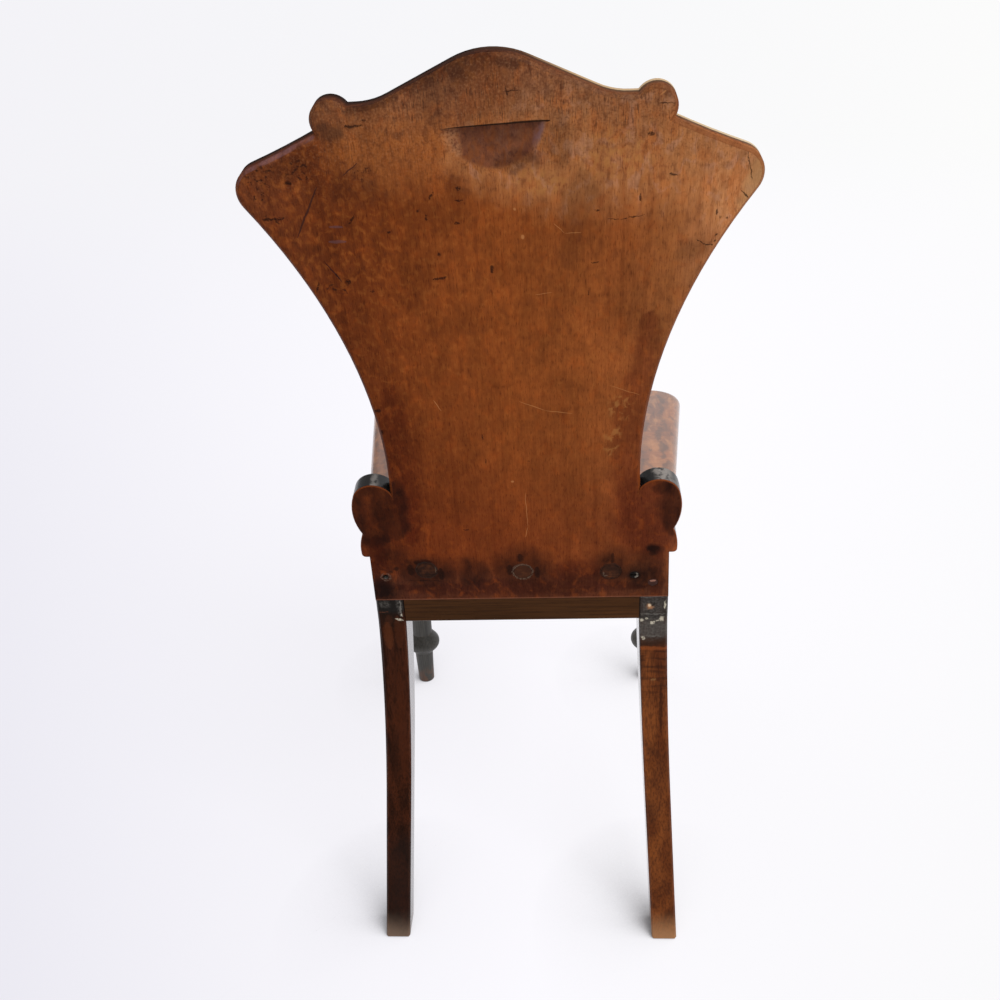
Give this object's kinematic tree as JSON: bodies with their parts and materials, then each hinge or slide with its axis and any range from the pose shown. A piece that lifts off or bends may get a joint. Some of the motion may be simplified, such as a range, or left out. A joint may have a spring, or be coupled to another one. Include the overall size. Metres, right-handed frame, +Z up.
{
  "type": "hall chair",
  "caption": "Wooden hall chair with a flared plank back with scrolled foot and ears, plank seat, sabre rear legs and turned front legs.",
  "frame": {"origin": "on the floor, below the middle of the overall box", "axes": "+Z up; the chair faces -Y, so the picture looks along -Y from behind; the sitter's left is +X"},
  "size_m": [0.3928, 0.4906, 0.8766],
  "materials": {
    "mahogany_back": "old waxed polish",
    "mahogany_seat": "glossy polish",
    "mahogany_frame": "satin polish",
    "dark_mahogany": "satin polish",
    "block_wood": "raw wood",
    "old_steel": "dull"
  },
  "bodies": {
    "root": {"back_board": "mahogany_back", "seat_board": "mahogany_seat", "front_rail": "mahogany_frame", "rear_rail": "mahogany_frame", "left_side_rail": "mahogany_frame", "right_side_rail": "mahogany_frame", "left_front_leg": "dark_mahogany", "right_front_leg": "dark_mahogany", "left_rear_leg": "dark_mahogany", "right_rear_leg": "dark_mahogany", "front_left_corner_block": "block_wood", "front_right_corner_block": "block_wood", "rear_left_corner_block": "block_wood", "rear_right_corner_block": "block_wood", "back_screws": "old_steel", "repair_screw": "old_steel", "leg_head_plug": "mahogany_back", "left_pellet": "mahogany_back", "middle_pellet": "mahogany_back", "right_pellet": "mahogany_back"}
  },
  "joints": []
}
